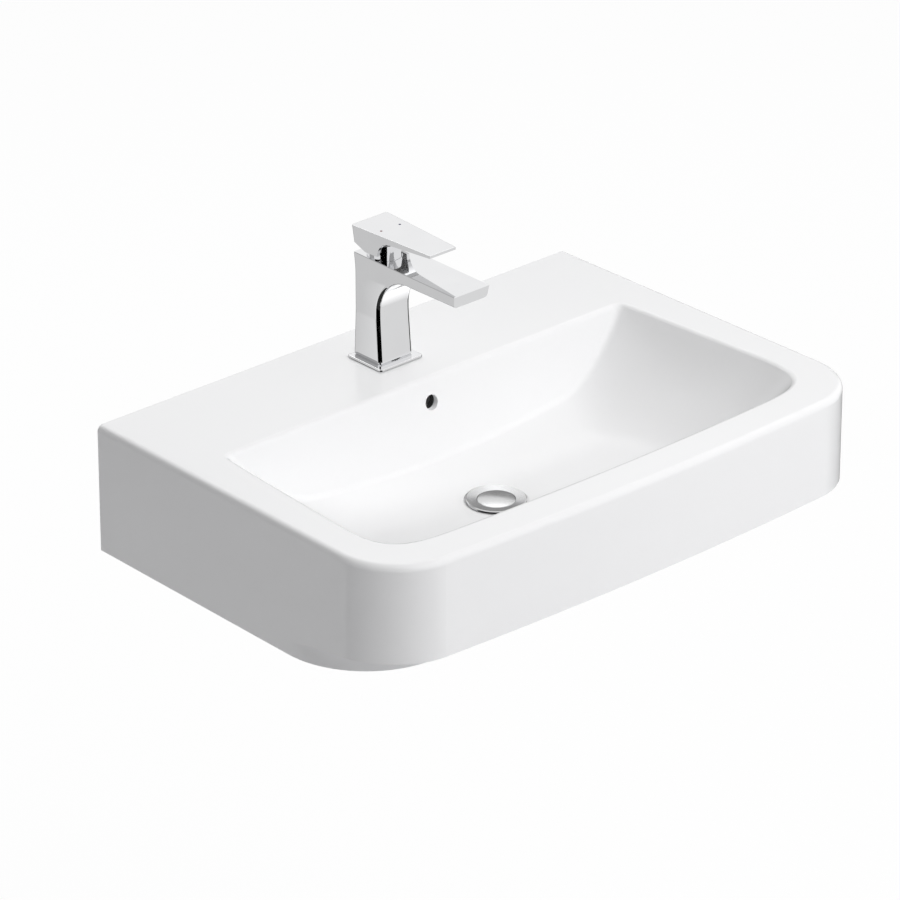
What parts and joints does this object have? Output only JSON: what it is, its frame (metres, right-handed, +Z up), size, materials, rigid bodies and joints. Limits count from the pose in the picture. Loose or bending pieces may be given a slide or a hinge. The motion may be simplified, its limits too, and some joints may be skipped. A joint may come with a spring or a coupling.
{
  "type": "wall-hung basin",
  "caption": "Wall-hung ceramic washbasin with a wide bowl, rounded front apron, single-lever mixer tap, push-plug waste and overflow.",
  "frame": {"origin": "on the wall plane, midway between the two wall bolt holes, 85 mm below the top of the deck", "axes": "+X to the right seen from the front, +Y into the wall, +Z up"},
  "size_m": [0.65, 0.455, 0.333],
  "materials": {
    "glaze": "gloss",
    "chrome": "polished",
    "brass": "satin",
    "steel": "satin",
    "rubber": "matte",
    "white_plastic": "satin",
    "grey_plastic": "satin",
    "disc_ceramic": "polished",
    "red_enamel": "gloss",
    "blue_enamel": "gloss"
  },
  "bodies": {
    "basin": {"basin": "glaze", "base_gasket": "rubber", "base_plate": "chrome", "tap_body": "chrome", "aerator_ring": "chrome", "aerator_insert": "white_plastic", "aerator_seal": "rubber", "fixing_stud": "steel", "clamp_rubber": "rubber", "clamp_plate": "steel", "fixing_nut": "steel", "cartridge_seal": "rubber", "cartridge_housing": "grey_plastic", "fixed_disc": "disc_ceramic", "lock_nut": "brass", "neck_cover": "chrome", "waste_body": "chrome", "flange_seal": "rubber", "lower_seal": "rubber", "slip_washer": "white_plastic", "back_nut": "brass", "click_post": "brass", "click_spring": "steel"},
    "carrier": {"cartridge_carrier": "grey_plastic", "stem_pin": "steel"},
    "lever": {"cartridge_stem": "steel", "handle": "chrome", "handle_screw": "steel", "hot_mark": "red_enamel", "cold_mark": "blue_enamel"},
    "disc": {"moving_disc": "disc_ceramic", "disc_slider": "grey_plastic"},
    "plug": {"plug_cap": "chrome", "plug_seal": "rubber", "plug_sleeve": "grey_plastic"}
  },
  "joints": [
    {"name": "temperature_turn", "type": "hinge", "parent": "basin", "child": "carrier", "pos_m": [0, -0.072, 0.198], "axis": [0, 0, 1], "range_deg": [-45, 45]},
    {"name": "lever_lift", "type": "hinge", "parent": "carrier", "child": "lever", "pos_m": [0, -0.072, 0.198], "axis": [-1, 0, 0], "range_deg": [0, 22]},
    {"name": "disc_slide", "type": "slide", "parent": "carrier", "child": "disc", "axis": [0, -1, 0], "range_m": [0, 0.0036]},
    {"name": "plug_travel", "type": "slide", "parent": "basin", "child": "plug", "axis": [0, 0, 1], "range_m": [-0.002, 0.008], "deforming": ["click_spring"]}
  ],
  "couplings": [
    {"joint": "disc_slide", "follows": "lever_lift", "m_per_rad": 0.009}
  ]
}
